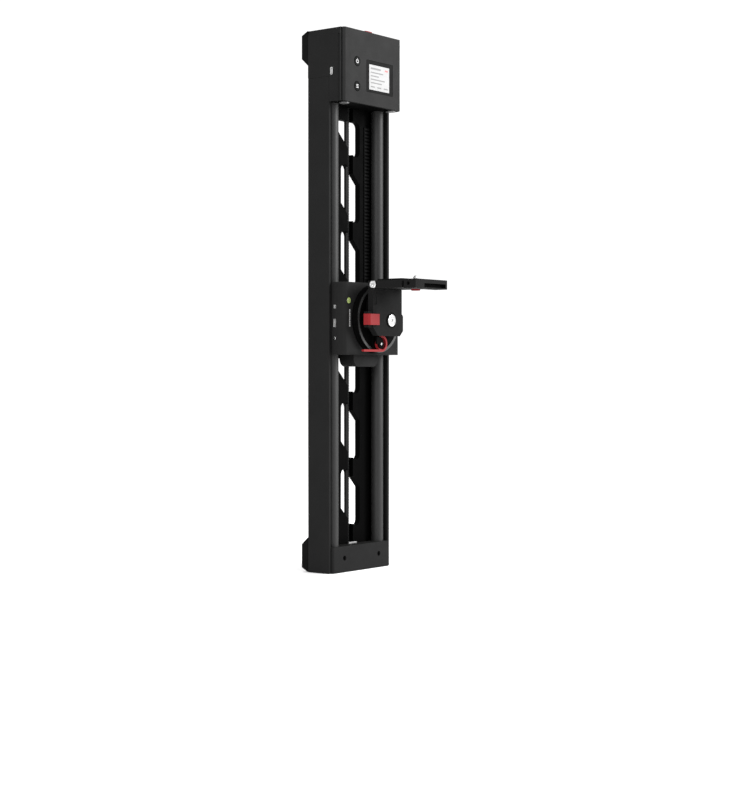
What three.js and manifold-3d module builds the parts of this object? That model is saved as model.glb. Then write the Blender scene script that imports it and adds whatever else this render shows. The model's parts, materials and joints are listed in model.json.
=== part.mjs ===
// Motorised camera slider, standing upright on its lower end.
// Units are millimetres. +Z runs up along the rail, +X is its width and the front faces -Y.
// The root group's origin is the centre of the lower end face. Inside it, y = 0 is the front
// plane of the rail, so a larger y lies deeper in the slider.
import * as THREE from 'three';
import { mergeVertices } from 'three/addons/utils/BufferGeometryUtils.js';
import Module from 'manifold-3d';

const wasm = await Module();
wasm.setup();

// ---------- driving dimensions ----------
const GAP = 0.3;                    // between pieces that touch

const totalLength = 660;
const coreWidth = 112.3;            // end cap and head, between the side plates
const plateThickness = 4;
const plateCorner = 1;
const railDepth = 36.8;
const plateSetback = 3.5;           // side plate's front edge, behind the front plane
const capHeight = 31.4;
const capCorner = 2.5;
const headHeight = 89;
const headReach = 17.5;             // head front, ahead of the front plane
const headCoverThickness = 3.7;
const housingWall = 3;
const sideCoverNotch = 30.7;        // height of the head's side cover below its step
const edgeChamfer = 2;
const grooveWidth = 3.2;            // groove between the head's front and side covers
const grooveDepth = 1.2;
const grooveDrop = 8;               // its top, below the head's top

const rodRadius = 7.5;
const rodSideInset = 4.15;          // rod's surface, in from the core's side
const rodFrontInset = 3.4;          // rod's surface, behind the front plane
const rodSeatDepth = 12;            // rod end in the head and in the end cap

const webSetback = 18.3;
const webThickness = 7.6;
const webFlangeSetback = 22;
const webFlangeThickness = 3;
const windowPitch = 82.2;
const windowLength = 61.7;
const windowHalfWidth = 18.6;
const windowRibHalf = 3.3;          // half width of the rib down a window's middle
const windowRoundShare = 0.47;      // radius of a round end, as a share of the hole's width
const windowRoundRise = 5;          // round end, past the middle of the slanted end
const windowSmallCorner = 1.5;
const firstWindowLength = 38.5;
const firstWindowExtra = 11;        // first window of each group reaches further left
const windowTopMargin = 16.2;
const windowGroupPitch = 294.3;
const windowsPerGroup = 3;

const beltWidth = 6;
const beltThickness = 1.5;
const beltSetback = 23.35;          // middle of the belt, behind the front plane
const beltPitchRadius = 5.1;
const beltSideGap = 0.4;            // belt to a pulley's flange
const beltClearance = 2;            // channel beside the belt
const channelFloorGap = 0.4;        // channel floor behind the belt
const pulleyFlangeHeight = 1.1;     // above the belt's pitch line
const pulleyFlangeThickness = 1;
const idlerRadius = 4;
const idlerFlangeRadius = 5;
const idlerPinRadius = 1.5;
const shaftRadius = 2;
const cheekThickness = 2;           // sides of the bracket that holds the pulleys
const cheekRise = 17;
const motorRadius = 5.9;
const anchorSize = [16, 8, 13];     // width, depth and height of a belt anchor
const anchorFloor = 3;
const anchorLip = [5, 2];           // lower anchor's lip: ahead of its block, above the end cap

const batterySize = [96, 34, 22];
const boardSize = [96, 1.6, 54];
const boardSetback = 1;             // behind the cover and above the head's floor

const screenWidth = 53;
const screenHeight = 38.7;
const screenX = 13;
const screenDrop = 53.55;           // frame's centre, below the head's top
const glassWidth = 40.1;
const glassHeight = 30.7;
const glassDrop = 54.15;            // glass's centre, below the head's top
const screenThickness = 2.4;
const screenInset = 0.4;            // frame's front, behind the head's
const glassInset = 0.5;
const glassThickness = 0.8;
const glassCorner = 1.5;
const buttonRadius = 5.8;
const buttonX = -31.5;
const buttonDrops = [38.6, 68.9];
const buttonThickness = 2.6;
const buttonProud = 0.5;
const buttonClearance = 0.4;
const topButtonSize = [14, 7, 5];
const topButtonProud = 3;
const topButtonCorner = 2.6;
const topButtonY = -8;
const bumperRadius = 6.2;
const bumperHeight = 1.6;
const bumperX = 46;
const bumperY = -9;
const usbSize = [3.4, 9, 6];        // width, height and depth of a socket shell
const usbDrop = 52.3;
const usbInset = 0.4;
const usbWall = 0.5;
const usbCorner = 1.4;

const footWidth = 24;
const footReach = 11.2;
const footHeight = 42;
const footFace = 28.5;
const footSlant = 5;              // slant at the end nearer the slider's end
const padThickness = 1.6;
const padMargin = 3;

const capThreadRadius = 3.2;
const capThreadX = 34;
const capThreadZ = 17;
const capThreadDepth = 12;

const mountWidth = 60;
const mountHeight = 64;
const mountCorner = 4;
const mountDrop = 3;                // its middle, below the middle of the web
const mountThreadRadius = 4.8;
const mountThreadX = 18;

const cableWidth = 10.6;
const cableThickness = 1.2;
const cableRibPitch = 4.45;
const cableRibHeight = 0.5;
const cableTopMargin = 20;
const cableLength = 200;

const carriageHeight = 88;
const carriageZ = 309;              // pan axis height, also the middle of the carriage
const carriageSideGap = 2.1;        // carriage side to side plate
const carriageReach = 17;           // carriage front, ahead of the front plane
const baseFrontReach = 4;
const baseClearance = 0.5;          // carriage base to the rods
const skirtThickness = 1.6;
const skirtDepth = 6;
const coverWall = 2;
const coverCorner = 5;
const lobeHeight = 14.5;
const lobeWidth = 48;
const lobeFrontReach = 6;
const lobeBack = 16.5;
const lobeCorner = 10;
const lobeBridge = 4;               // its root, above the carriage's underside

const rollerRadius = 8;             // at the bottom of the groove
const rollerWidth = 8;
const rollerBore = 3;
const rollerZ = 30;                 // rollers above and below the carriage's middle
const rollerBoltRadius = 2.6;
const rollerBoltHead = 4.6;
const rollerBoltThickness = 0.9;

const turntableRadius = 42;
const turntableThickness = 8.9;
const hubRadius = 12;
const hubLength = 8.4;
const hubClearance = 1;
const wormWheelRadius = 18;
const wormWheelWidth = 4;
const wormRadius = 3.4;
const wormLength = 14;
const panMotorRadius = 4.4;
const panMotorLength = 26;
const panMotorGap = 1.5;            // beside the worm
const wheelTeeth = 40;

const levelX = -46.7;
const levelZ = 21.5;
const levelRadius = 4.5;
const levelDepth = 1.6;

const portDepth = 5;
const portWall = 0.5;
const portProud = 0.1;

const bracketWidth = 60;
const bracketTop = 35.7;            // above the pan axis
const bracketBottom = 21.2;         // below the pan axis
const bracketThickness = 7.8;
const bracketCorner = 6.5;
const bracketCut = 10;              // slanted lower left corner
const slotWidth = 1;
const slotLength = 15;
const slotX = -23.7;
const slotDrop = 4;                 // its top, below the plate's top
const slotDepth = 1.5;
const slotHook = 3.5;               // reach of its foot to the left
const plateStep = [2.6, 3.6];       // width and height of the step in the plate's right edge
const clampBlockWidth = 52;
const clampBlockHeight = 38;
const clampBlockRise = 4;            // its middle, above the pan axis
const clampThickness = 6.3;
const clampCorner = 5;
const earLength = 8;
const earThickness = 2.4;
const earDepth = 6.4;
const leverHeight = 13.4;
const leverTip = 12.2;
const leverThickness = 4.7;
const leverPinRadius = 1.6;
const leverZ = -1.6;
const leverPivot = [4.5, 3.6];      // beyond the plate's left edge, ahead of its back face
const knobRadius = 7.6;
const knobX = 5.6;
const knobZ = -2;
const knobThickness = 3;
const knobStemRadius = 3;
const knobSlotWidth = 1.6;
const knobSlotDepth = 1.2;
const knobRecessRadius = 10;
const knobRecessDepth = 1.2;

const camX = -6.9;                  // the lever's pivot
const camZ = -30.9;
const camRingRadius = 10;
const camRingWidth = 2.6;
const camRingOffset = [5.4, 0.6];   // ring's centre, from the pivot
const camBossRadius = 4.6;
const camHandleLength = 31;
const camPinRadius = 2;
const camHubRadius = 5.4;
const camHubThickness = 2.4;
const camTipRadius = 1.6;
const camTipProud = 0.6;
const camShield = [9, 8.8];         // the hub's shoulder: reach to the left and above the pivot
const camPlateThickness = 2.6;
const camPlateHalfWidth = 8;
const camThickness = clampThickness - camPlateThickness - GAP;

const armLength = 42.8;             // ahead of the bracket plate's front
const armThickness = 9.2;
const armScrewRadius = 4.6;
const armScrewHead = 2.6;
const armScrewShank = 2;            // radius
const armScrewReach = 11;
const armScrewSocket = 2.2;
const armScrewSetback = 8.6;        // ahead of the bracket plate's back
const jawGap = 3;
const jawDepth = 17.8;
const jawHeight = 11.2;
const jawOverhang = 4.6;            // past the arm on the right
const jawRecess = [43, 4.6, 5];     // width, height and depth of the recess in its front
const jawRecessX = 9.5;
const jawRecessRise = 1.5;          // above the jaw's underside
const jawHoleRadius = 2.2;
const jawHoleDepth = 8;
const jawHoleSetback = 6.5;         // ahead of the jaw's back
const jawRodRadius = 2;
const jawRodX = 18;
const jawRodLength = 14;            // inside the arm
const jawRodRoom = 20;
const jawRise = 0.8;                // jaw's top, above the arm's
const padPlateThickness = 1.6;
const cameraScrewRadius = 3.17;
const cameraScrewRise = 5;
const cameraScrewReach = 37;        // ahead of the bracket plate's front
const cameraScrewX = 6;
const cameraScrewTip = 1.2;         // radius of its tapered end
const cameraKnobRadius = 5.5;
const cameraKnobThickness = 4;
const cameraKnobDrop = 2.6;         // its underside, below the arm's

const FINE = 32;                    // segments round a large circle
const COARSE = 16;                  // segments round a small one

// ---------- dependent sizes ----------
const coreHalf = coreWidth / 2;
const fitHalf = coreHalf - GAP;
const plateHalf = coreHalf + plateThickness;
const headZ = totalLength - headHeight;
const headBackZ = headZ + sideCoverNotch;
const headFrontY = -headReach;
const coverBackY = headFrontY + headCoverThickness;
const rodX = coreHalf - rodSideInset - rodRadius;
const rodSetback = rodFrontInset + rodRadius;
const baseBack = rodFrontInset - baseClearance;
const rodLow = capHeight - rodSeatDepth;
const rodHigh = headZ + rodSeatDepth;
const webLow = capHeight + GAP;
const webHigh = headZ - GAP;
const webCoreHalf = rodX - rodRadius - GAP;
const pulleyFlangeRadius = beltPitchRadius + pulleyFlangeHeight;
const pulleyY = baseBack + GAP + pulleyFlangeRadius;
const channelHalf = beltWidth / 2 + beltClearance;
const channelFloor = beltSetback + beltThickness / 2 + channelFloorGap;
const pulleyHalf = beltWidth / 2 + beltSideGap + pulleyFlangeThickness;
const idlerPitchRadius = idlerRadius + GAP + beltThickness / 2;
const idlerY = beltSetback - beltThickness - GAP - idlerPitchRadius;
const idlerZ = beltPitchRadius + idlerPitchRadius;
const cheekInner = pulleyHalf + GAP;
const cheekOuter = cheekInner + cheekThickness;
const carriageHalf = coreHalf - carriageSideGap;
const carriageHalfHeight = carriageHeight / 2;
const rollerX = rodX - rodRadius - GAP - rollerRadius;
const wormY = -carriageReach + coverWall + panMotorRadius + 2 * GAP;
const wormZ = -wormWheelRadius - wormRadius - GAP;
const turntableBackY = -carriageReach - GAP;
const turntableFrontY = turntableBackY - turntableThickness;
const clampFrontY = turntableFrontY - GAP - clampThickness;
const bracketBackY = clampFrontY - GAP;
const bracketFrontY = bracketBackY - bracketThickness;
const armBottom = bracketTop + GAP;
const armFrontY = bracketFrontY - armLength;
const jawBackY = armFrontY - jawGap;
const jawFrontY = jawBackY - jawDepth;
const armTop = armBottom + armThickness;
const jawTop = armTop + jawRise;
const armMiddle = (armBottom + armTop) / 2;
const cameraKnobLow = armBottom - cameraKnobDrop;
const cameraScrewY = bracketFrontY - cameraScrewReach;

// ---------- geometry helpers ----------
function box(x0, x1, y0, y1, z0, z1) {
  const geometry = new THREE.BoxGeometry(x1 - x0, y1 - y0, z1 - z0);
  return geometry.translate((x0 + x1) / 2, (y0 + y1) / 2, (z0 + z1) / 2);
}

function outline(points) {
  return new THREE.Shape(points.map(([u, v]) => new THREE.Vector2(u, v)));
}

function roundedRect(u0, u1, v0, v1, radius) {
  const shape = new THREE.Shape();
  shape.moveTo(u0 + radius, v0);
  shape.lineTo(u1 - radius, v0);
  shape.absarc(u1 - radius, v0 + radius, radius, -Math.PI / 2, 0, false);
  shape.lineTo(u1, v1 - radius);
  shape.absarc(u1 - radius, v1 - radius, radius, 0, Math.PI / 2, false);
  shape.lineTo(u0 + radius, v1);
  shape.absarc(u0 + radius, v1 - radius, radius, Math.PI / 2, Math.PI, false);
  shape.lineTo(u0, v0 + radius);
  shape.absarc(u0 + radius, v0 + radius, radius, Math.PI, 1.5 * Math.PI, false);
  return shape;
}

function extrude(shape, depth, curveSegments = 5) {
  return new THREE.ExtrudeGeometry(shape, { depth, bevelEnabled: false, curveSegments });
}

// A shape drawn in (x, y), standing from z0 to z1.
function prismZ(shape, z0, z1, curveSegments) {
  return extrude(shape, z1 - z0, curveSegments).translate(0, 0, z0);
}

// A shape drawn in (x, z), reaching from y0 back to y1.
function prismY(shape, y0, y1, curveSegments) {
  return extrude(shape, y1 - y0, curveSegments).rotateX(Math.PI / 2).translate(0, y1, 0);
}

// A shape drawn in (y, z), reaching from x0 to x1.
function prismX(shape, x0, x1, curveSegments) {
  const turn = new THREE.Matrix4().makeBasis(
    new THREE.Vector3(0, 1, 0), new THREE.Vector3(0, 0, 1), new THREE.Vector3(1, 0, 0));
  return extrude(shape, x1 - x0, curveSegments).applyMatrix4(turn).translate(x0, 0, 0);
}

// Cylinders along each axis, given by their ends and the other two coordinates of the axis.
function cylinderX(radius, x0, x1, y, z, segments = COARSE) {
  const geometry = new THREE.CylinderGeometry(radius, radius, x1 - x0, segments);
  return geometry.rotateZ(Math.PI / 2).translate((x0 + x1) / 2, y, z);
}

function cylinderY(radius, y0, y1, x, z, segments = COARSE) {
  const geometry = new THREE.CylinderGeometry(radius, radius, y1 - y0, segments);
  return geometry.translate(x, (y0 + y1) / 2, z);
}

function cylinderZ(radius, z0, z1, x, y, segments = COARSE) {
  const geometry = new THREE.CylinderGeometry(radius, radius, z1 - z0, segments);
  return geometry.rotateX(Math.PI / 2).translate(x, y, (z0 + z1) / 2);
}

// A closed profile of [radius, height] points turned about the Y axis.
function turned(profile, segments = COARSE) {
  const points = profile.map(([radius, height]) => new THREE.Vector2(radius, height));
  return new THREE.LatheGeometry([...points, points[0]], segments);
}

function toManifold(geometry) {
  const bare = geometry.clone();
  bare.deleteAttribute('normal');
  bare.deleteAttribute('uv');
  const merged = mergeVertices(bare, 1e-4);
  return new wasm.Manifold(new wasm.Mesh({
    numProp: 3,
    vertProperties: new Float32Array(merged.attributes.position.array),
    triVerts: new Uint32Array(merged.index.array),
  }));
}

function toGeometry(solid) {
  const mesh = solid.getMesh();
  const geometry = new THREE.BufferGeometry();
  geometry.setAttribute('position', new THREE.BufferAttribute(mesh.vertProperties, 3));
  geometry.setIndex(new THREE.BufferAttribute(mesh.triVerts, 1));
  geometry.computeVertexNormals();
  return geometry;
}

function join(first, ...others) {
  return toGeometry(others.reduce((sum, next) => sum.add(toManifold(next)), toManifold(first)));
}

function cut(body, ...tools) {
  return toGeometry(tools.reduce((rest, tool) => rest.subtract(toManifold(tool)), toManifold(body)));
}

// ---------- materials ----------
const FINISHES = {
  anodised: [0x35363a, 0.42, 0.75],
  charcoal: [0x47484c, 0.5, 0.55],
  black: [0x121315, 0.55, 0.3],
  steel: [0xb9bcc0, 0.25, 1],
  rubber: [0x1a1a1b, 0.9, 0],
  red: [0xc8202c, 0.35, 0.5],
  brass: [0xb08d4a, 0.35, 1],
  screen: [0xe6e8ea, 0.2, 0],
  board: [0x14472c, 0.6, 0.1],
  battery: [0x2a4d7a, 0.5, 0],
  vial: [0xb9cf3a, 0.1, 0],
};

function part(name, geometry, finish) {
  const [color, roughness, metalness] = FINISHES[finish];
  const mesh = new THREE.Mesh(geometry, new THREE.MeshStandardMaterial({ color, roughness, metalness }));
  mesh.name = name;
  return mesh;
}

function assembly(position, ...children) {
  const group = new THREE.Group();
  group.position.set(...position);
  group.add(...children);
  return group;
}

const SIDES = [['left', -1], ['right', 1]];

function spanX(side, inner, outer) {
  return side < 0 ? [-outer, -inner] : [inner, outer];
}

// ---------- rail ----------
function sidePlate(side) {
  const [x0, x1] = spanX(side, coreHalf, plateHalf);
  const section = roundedRect(x0, x1, plateSetback, railDepth, plateCorner);
  return prismZ(section, 0, headBackZ - GAP, 3);
}

function rod() {
  return cylinderZ(rodRadius, rodLow, rodHigh, 0, 0, FINE);
}

// Outline through corners of [x, z, radius], each rounded by an arc.
function roundedOutline(corners) {
  const points = corners.map(([x, z]) => new THREE.Vector2(x, z));
  const shape = new THREE.Shape();
  corners.forEach(([, , radius], k) => {
    const corner = points[k];
    const before = points[(k + points.length - 1) % points.length].clone().sub(corner).normalize();
    const after = points[(k + 1) % points.length].clone().sub(corner).normalize();
    const half = Math.acos(THREE.MathUtils.clamp(before.dot(after), -1, 1)) / 2;
    const reach = radius / Math.tan(half);
    const centre = before.clone().add(after).normalize().multiplyScalar(radius / Math.sin(half));
    centre.add(corner);
    const start = corner.clone().addScaledVector(before, reach).sub(centre).angle();
    const end = corner.clone().addScaledVector(after, reach).sub(centre).angle();
    const clockwise = before.cross(after) > 0;
    shape.absarc(centre.x, centre.y, radius, start, end, clockwise);
  });
  return shape;
}

// The two holes of a window, beside the rib that the belt runs along. Each has one end at 45
// degrees and one round end. The first window of a group has a level top and reaches further left.
function windowShapes(top, bottom, left, levelTop) {
  const right = windowHalfWidth;
  const rib = windowRibHalf;
  const small = windowSmallCorner;
  const leftRound = (-rib - left) * windowRoundShare;
  const rightRound = (right - rib) * windowRoundShare;
  const leftTop = levelTop ? top : top + windowRoundRise;
  const rightLow = bottom - windowRoundRise;
  return [
    roundedOutline([
      [left, bottom - left, small], [-rib, bottom + rib, small],
      [-rib, leftTop, levelTop ? small : leftRound], [left, leftTop, levelTop ? small : leftRound],
    ]),
    roundedOutline([
      [rib, rightLow, rightRound], [right, rightLow, rightRound],
      [right, levelTop ? top : top - right, levelTop ? rightRound : small],
      [rib, levelTop ? top : top - rib, small],
    ]),
  ];
}

function webWindows() {
  const windows = [];
  const strut = windowPitch - windowLength;
  for (let group = 0; group < 2; group += 1) {
    const top = webHigh - windowTopMargin + GAP - group * windowGroupPitch;
    const firstBottom = top - firstWindowLength;
    windows.push(...windowShapes(top, firstBottom, -windowHalfWidth - firstWindowExtra, true));
    for (let k = 0; k < windowsPerGroup - 1; k += 1) {
      const high = firstBottom - strut - k * windowPitch;
      windows.push(...windowShapes(high, high - windowLength, -windowHalfWidth, false));
    }
  }
  return windows.map((shape) => prismY(shape, webSetback - 1, webSetback + webThickness + 1));
}

function web() {
  const flangeBack = webFlangeSetback + webFlangeThickness;
  const back = webSetback + webThickness;
  const section = outline([
    [-fitHalf, webFlangeSetback], [-webCoreHalf, webFlangeSetback], [-webCoreHalf, webSetback],
    [-channelHalf, webSetback], [-channelHalf, channelFloor], [channelHalf, channelFloor],
    [channelHalf, webSetback], [webCoreHalf, webSetback], [webCoreHalf, webFlangeSetback],
    [fitHalf, webFlangeSetback], [fitHalf, flangeBack], [webCoreHalf, flangeBack],
    [webCoreHalf, back], [-webCoreHalf, back], [-webCoreHalf, flangeBack], [-fitHalf, flangeBack],
  ]);
  return cut(prismZ(section, webLow, webHigh), ...webWindows());
}

function ribbedCable() {
  const x0 = webCoreHalf - cableWidth;
  const x1 = webCoreHalf;
  const back = webSetback - GAP;
  const front = back - cableThickness;
  const high = webHigh - cableTopMargin;
  const ribs = Math.floor(cableLength / cableRibPitch);
  const points = [[back, high], [back, high - ribs * cableRibPitch]];
  for (let k = ribs; k > 0; k -= 1) {
    const low = high - k * cableRibPitch;
    const ribTop = low + cableRibPitch * 0.4;
    points.push([front, low], [front, ribTop], [front + cableRibHeight, ribTop]);
    points.push([front + cableRibHeight, low + cableRibPitch]);
  }
  return prismX(outline(points), x0, x1);
}

function midMount() {
  const front = webSetback + webThickness + GAP;
  const half = mountWidth / 2;
  const z0 = (webLow + webHigh - mountHeight) / 2 - mountDrop;
  const block = prismY(roundedRect(-half, half, z0, z0 + mountHeight, mountCorner), front, railDepth);
  const threads = SIDES.map(([, side]) => cylinderY(
    mountThreadRadius, front - 1, railDepth + 1, side * mountThreadX, z0 + mountHeight / 2));
  return cut(block, ...threads);
}

// ---------- lower end ----------
function endCap() {
  const section = roundedRect(-fitHalf, fitHalf, 0, railDepth, capCorner);
  const block = prismZ(section, 0, capHeight);
  const [anchorW, anchorD, anchorH] = anchorSize;
  const pocket = box(-anchorW / 2 - GAP, anchorW / 2 + GAP, beltSetback - anchorD / 2 - anchorLip[0] - GAP,
    beltSetback + anchorD / 2 + GAP, capHeight - anchorH - GAP, capHeight + 1);
  const rodSeats = SIDES.map(([, side]) => cylinderZ(
    rodRadius + GAP, rodLow - GAP, capHeight + 1, side * rodX, rodSetback, FINE));
  const threads = SIDES.map(([, side]) => cylinderY(
    capThreadRadius, -1, capThreadDepth, side * capThreadX, capThreadZ));
  return cut(block, pocket, ...rodSeats, ...threads);
}

// Block that grips one end of the belt, with its slot open at the end that the belt comes from.
// The lower one has a lip that stands out of the end cap.
function beltAnchor(low, openTop) {
  const [width, depth, height] = anchorSize;
  const half = beltWidth / 2 + GAP;
  const thick = beltThickness / 2 + GAP;
  const front = beltSetback - depth / 2 - (openTop ? anchorLip[0] : 0);
  const block = box(-width / 2, width / 2, front, beltSetback + depth / 2, low, low + height);
  const lip = box(-width / 2, width / 2, front, webSetback - GAP, low + 1, low + height + anchorLip[1]);
  const body = openTop ? join(block, lip) : block;
  const slotLow = openTop ? low + anchorFloor - GAP : low - 1;
  const slotHigh = openTop ? low + height + 1 : low + height - anchorFloor + GAP;
  return cut(body, box(-half, half, beltSetback - thick, beltSetback + thick, slotLow, slotHigh));
}

function belt() {
  const low = capHeight - anchorSize[2] + anchorFloor;
  const high = headZ + housingWall + GAP + anchorSize[2] - anchorFloor;
  return box(-beltWidth / 2, beltWidth / 2, beltSetback - beltThickness / 2,
    beltSetback + beltThickness / 2, low, high);
}

// ---------- feet ----------
// Foot drawn in (y, z) with slanted ends, from its low edge upward, and a rubber pad moulded on.
// `faceStart` is where its flat face begins above that edge.
function foot(low, faceStart) {
  const back = railDepth + GAP;
  const face = railDepth + footReach - padThickness;
  const faceLow = low + faceStart;
  const faceHigh = faceLow + footFace;
  const profile = outline([[back, low], [face, faceLow], [face, faceHigh], [back, low + footHeight]]);
  const half = footWidth / 2 - padMargin;
  const pad = roundedRect(-half, half, faceLow + 1, faceHigh - 1, padMargin);
  return join(prismX(profile, -footWidth / 2, footWidth / 2),
    prismY(pad, face - 1, railDepth + footReach));
}

function feet() {
  const nodes = [];
  const centre = plateHalf - footWidth / 2;
  const upperStart = footHeight - footSlant - footFace;
  const levels = [['upper', totalLength - footHeight, upperStart], ['lower', 0, footSlant]];
  for (const [level, low, faceStart] of levels) {
    for (const [sideName, side] of SIDES) {
      nodes.push(assembly([side * centre, 0, 0],
        part(`${level}_foot_${sideName}`, foot(low, faceStart), 'rubber')));
    }
  }
  return nodes;
}

// ---------- head ----------
function headHousing() {
  const outer = box(-fitHalf, fitHalf, coverBackY + GAP, railDepth, headZ, totalLength);
  const wall = housingWall;
  const hollow = box(-fitHalf + wall, fitHalf - wall, coverBackY, railDepth - wall,
    headZ + wall, totalLength - wall);
  const beltWay = box(-channelHalf, channelHalf, beltSetback - beltThickness, beltSetback + beltThickness,
    headZ - 1, headZ + wall + 1);
  const rodSeats = SIDES.map(([, side]) => cylinderZ(
    rodRadius + GAP, headZ - 1, headZ + wall + 1, side * rodX, rodSetback, FINE));
  const buttonHole = prismZ(roundedRect(
    -topButtonSize[0] / 2 - buttonClearance, topButtonSize[0] / 2 + buttonClearance,
    topButtonY - topButtonSize[1] / 2 - buttonClearance,
    topButtonY + topButtonSize[1] / 2 + buttonClearance, 3), totalLength - wall - 1, totalLength + 1);
  const socketHole = box(-fitHalf - 1, -fitHalf + wall + 1, -usbSize[0] / 2 - GAP, usbSize[0] / 2 + GAP,
    totalLength - usbDrop - usbSize[1] / 2 - GAP, totalLength - usbDrop + usbSize[1] / 2 + GAP);
  return cut(outer, hollow, beltWay, ...rodSeats, buttonHole, socketHole);
}

function screenOpening(clearance) {
  const halfW = screenWidth / 2 + clearance;
  const halfH = screenHeight / 2 + clearance;
  const z = totalLength - screenDrop;
  return roundedRect(screenX - halfW, screenX + halfW, z - halfH, z + halfH, glassCorner);
}

function headFrontCover() {
  const width = coreHalf - edgeChamfer;
  const section = outline([
    [-coreHalf, coverBackY], [-coreHalf, headFrontY + edgeChamfer], [-width, headFrontY],
    [width, headFrontY], [coreHalf, headFrontY + edgeChamfer], [coreHalf, coverBackY],
  ]);
  const plate = prismZ(section, headZ, totalLength);
  const opening = prismY(screenOpening(GAP), headFrontY - 1, coverBackY + 1);
  const holes = buttonDrops.map((drop) => cylinderY(buttonRadius + buttonClearance,
    headFrontY - 1, coverBackY + 1, buttonX, totalLength - drop, FINE));
  return cut(plate, opening, ...holes);
}

function headSideCover(side) {
  const [x0, x1] = spanX(side, coreHalf, plateHalf);
  const front = coverBackY + GAP;
  const profile = outline([
    [front, headZ], [plateSetback - GAP, headZ], [plateSetback - GAP, headBackZ],
    [railDepth, headBackZ], [railDepth, totalLength], [front, totalLength],
  ]);
  const cover = prismX(profile, x0, x1);
  const slope = outline([[0, 0], [edgeChamfer, 0], [0, -4 * edgeChamfer]]);
  const wedge = prismY(slope, front - 1, railDepth + 1);
  const chamfer = side < 0 ? wedge : wedge.rotateZ(Math.PI).translate(0, front + railDepth, 0);
  chamfer.translate(side * plateHalf, 0, totalLength);
  const socket = box(x0 - 1, x1 + 1, -usbSize[0] / 2 - GAP, usbSize[0] / 2 + GAP,
    totalLength - usbDrop - usbSize[1] / 2 - GAP, totalLength - usbDrop + usbSize[1] / 2 + GAP);
  const [g0, g1] = spanX(side, plateHalf - grooveDepth, plateHalf + 1);
  const groove = box(g0, g1, front - 1, front + grooveWidth, headZ - 1, totalLength - grooveDrop);
  return side < 0 ? cut(cover, chamfer, groove, socket) : cut(cover, chamfer, groove);
}

// Block as large as the glass with a clearance, between two depths.
function glassBlock(clearance, y0, y1) {
  const z = totalLength - glassDrop;
  const halfW = glassWidth / 2 + clearance;
  const halfH = glassHeight / 2 + clearance;
  return box(screenX - halfW, screenX + halfW, y0, y1, z - halfH, z + halfH);
}

function screenFrame() {
  const front = headFrontY + screenInset;
  const frame = prismY(screenOpening(0), front, front + screenThickness);
  return cut(frame, glassBlock(GAP, headFrontY - 1, headFrontY + glassInset + glassThickness + GAP));
}

function screenGlass() {
  return glassBlock(0, headFrontY + glassInset, headFrontY + glassInset + glassThickness);
}

function pushButton() {
  return cylinderY(buttonRadius, -buttonProud, buttonThickness - buttonProud, 0, 0, FINE);
}

function topButton() {
  const [width, depth, height] = topButtonSize;
  const cap = roundedRect(-width / 2, width / 2, -depth / 2, depth / 2, topButtonCorner);
  return prismZ(cap, topButtonProud - height, topButtonProud);
}

function socketShell() {
  const [width, height, depth] = usbSize;
  const shell = prismX(roundedRect(-width / 2, width / 2, -height / 2, height / 2, usbCorner), 0, depth);
  const mouth = prismX(roundedRect(-width / 2 + usbWall, width / 2 - usbWall, -height / 2 + usbWall,
    height / 2 - usbWall, usbCorner - usbWall), -1, depth - 3 * usbWall);
  return cut(shell, mouth);
}

// Toothed disc along +Z; `bore` is the radius of its hole, or 0 for none.
function gear(radius, width, teeth, bore) {
  const tooth = radius * 0.12;
  const points = [];
  for (let k = 0; k < teeth; k += 1) {
    const pitch = (2 * Math.PI) / teeth;
    const start = k * pitch;
    const corners = [[0, -tooth], [0.3, -tooth], [0.42, 0], [0.78, 0]];
    for (const [share, depth] of corners) {
      const angle = start + share * pitch;
      points.push([(radius + depth) * Math.cos(angle), (radius + depth) * Math.sin(angle)]);
    }
  }
  const shape = outline(points);
  if (bore > 0) {
    const hole = new THREE.Path();
    hole.absarc(0, 0, bore, 0, 2 * Math.PI, true);
    shape.holes.push(hole);
  }
  return extrude(shape, width, 8);
}

function headInside() {
  const boardY = coverBackY + GAP + boardSetback;
  const [boardW, boardT, boardH] = boardSize;
  const [batteryW, batteryD, batteryH] = batterySize;
  const batteryTop = totalLength - housingWall - topButtonSize[2] - GAP;
  const batteryY = (boardY + boardT + railDepth - housingWall) / 2;
  const boardLow = headZ + housingWall + boardSetback;
  return [
    part('control_board', box(-boardW / 2, boardW / 2, boardY, boardY + boardT, boardLow,
      boardLow + boardH), 'board'),
    part('battery_pack', box(-batteryW / 2, batteryW / 2, batteryY - batteryD / 2,
      batteryY + batteryD / 2, batteryTop - batteryH, batteryTop), 'battery'),
  ];
}

function head() {
  const buttons = [['power_button', buttonDrops[0]], ['menu_button', buttonDrops[1]]];
  return [
    part('head_housing', headHousing(), 'black'),
    part('head_front_cover', headFrontCover(), 'anodised'),
    ...SIDES.map(([name, side]) => part(`head_side_cover_${name}`, headSideCover(side), 'charcoal')),
    part('screen_frame', screenFrame(), 'black'),
    part('screen_glass', screenGlass(), 'screen'),
    ...buttons.map(([name, drop]) => assembly([buttonX, headFrontY, totalLength - drop],
      part(name, pushButton(), 'black'))),
    assembly([0, topButtonY, totalLength], part('top_button', topButton(), 'red')),
    ...SIDES.map(([name, side]) => assembly([side * bumperX, bumperY, headZ - GAP],
      part(`stop_bumper_${name}`, cylinderZ(bumperRadius, -bumperHeight, 0, 0, 0), 'steel'))),
    assembly([-plateHalf + usbInset, 0, totalLength - usbDrop],
      part('charging_socket', socketShell(), 'steel')),
    part('belt_anchor_upper', beltAnchor(headZ + housingWall + GAP, false), 'steel'),
    ...headInside(),
  ];
}

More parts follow.
